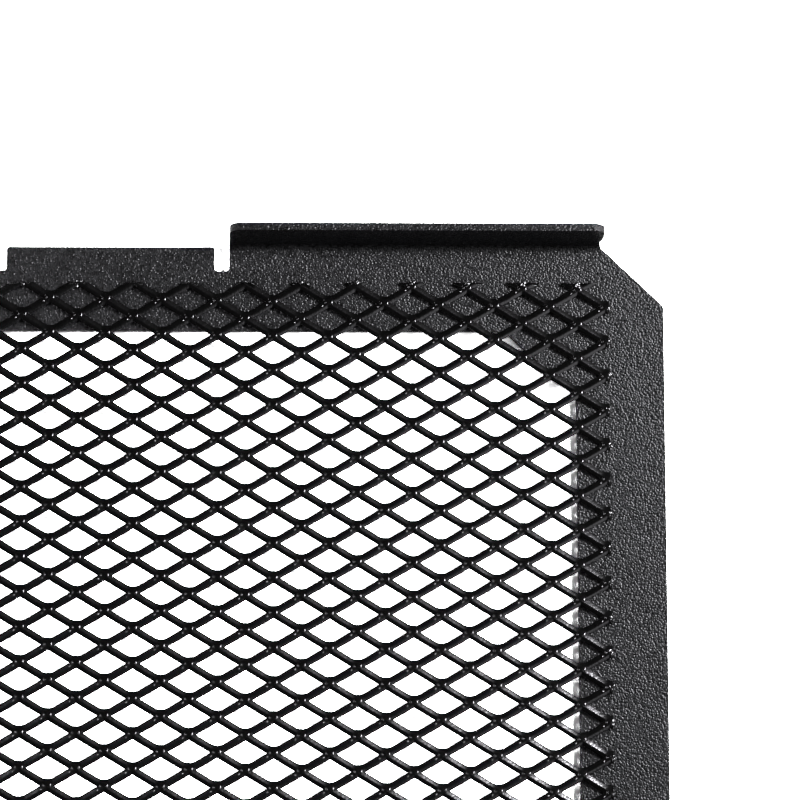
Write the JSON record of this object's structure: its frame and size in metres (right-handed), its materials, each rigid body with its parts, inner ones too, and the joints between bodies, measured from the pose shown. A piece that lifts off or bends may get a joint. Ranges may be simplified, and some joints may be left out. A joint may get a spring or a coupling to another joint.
{
  "type": "motorcycle radiator guard",
  "caption": "Flat sheet-metal frame with cut corners and bent hook flanges on its upper edge, closed by an expanded-metal panel, that shields a motorcycle radiator.",
  "frame": {"origin": "middle of the guard's box, at the level of the frame's front face", "axes": "+X along the flanged edge to the right, +Y towards the flanged edge, +Z out of the rear side, towards the radiator; the guard lies on its front face"},
  "size_m": [0.278, 0.1864, 0.014],
  "materials": {
    "frame_coat": "fine sand-textured black powder coat",
    "mesh_coat": "black powder coat, semi-gloss where it rounds over the strands"
  },
  "bodies": {
    "root": {"guard_frame": "frame_coat", "mesh_panel": "mesh_coat"}
  },
  "joints": []
}
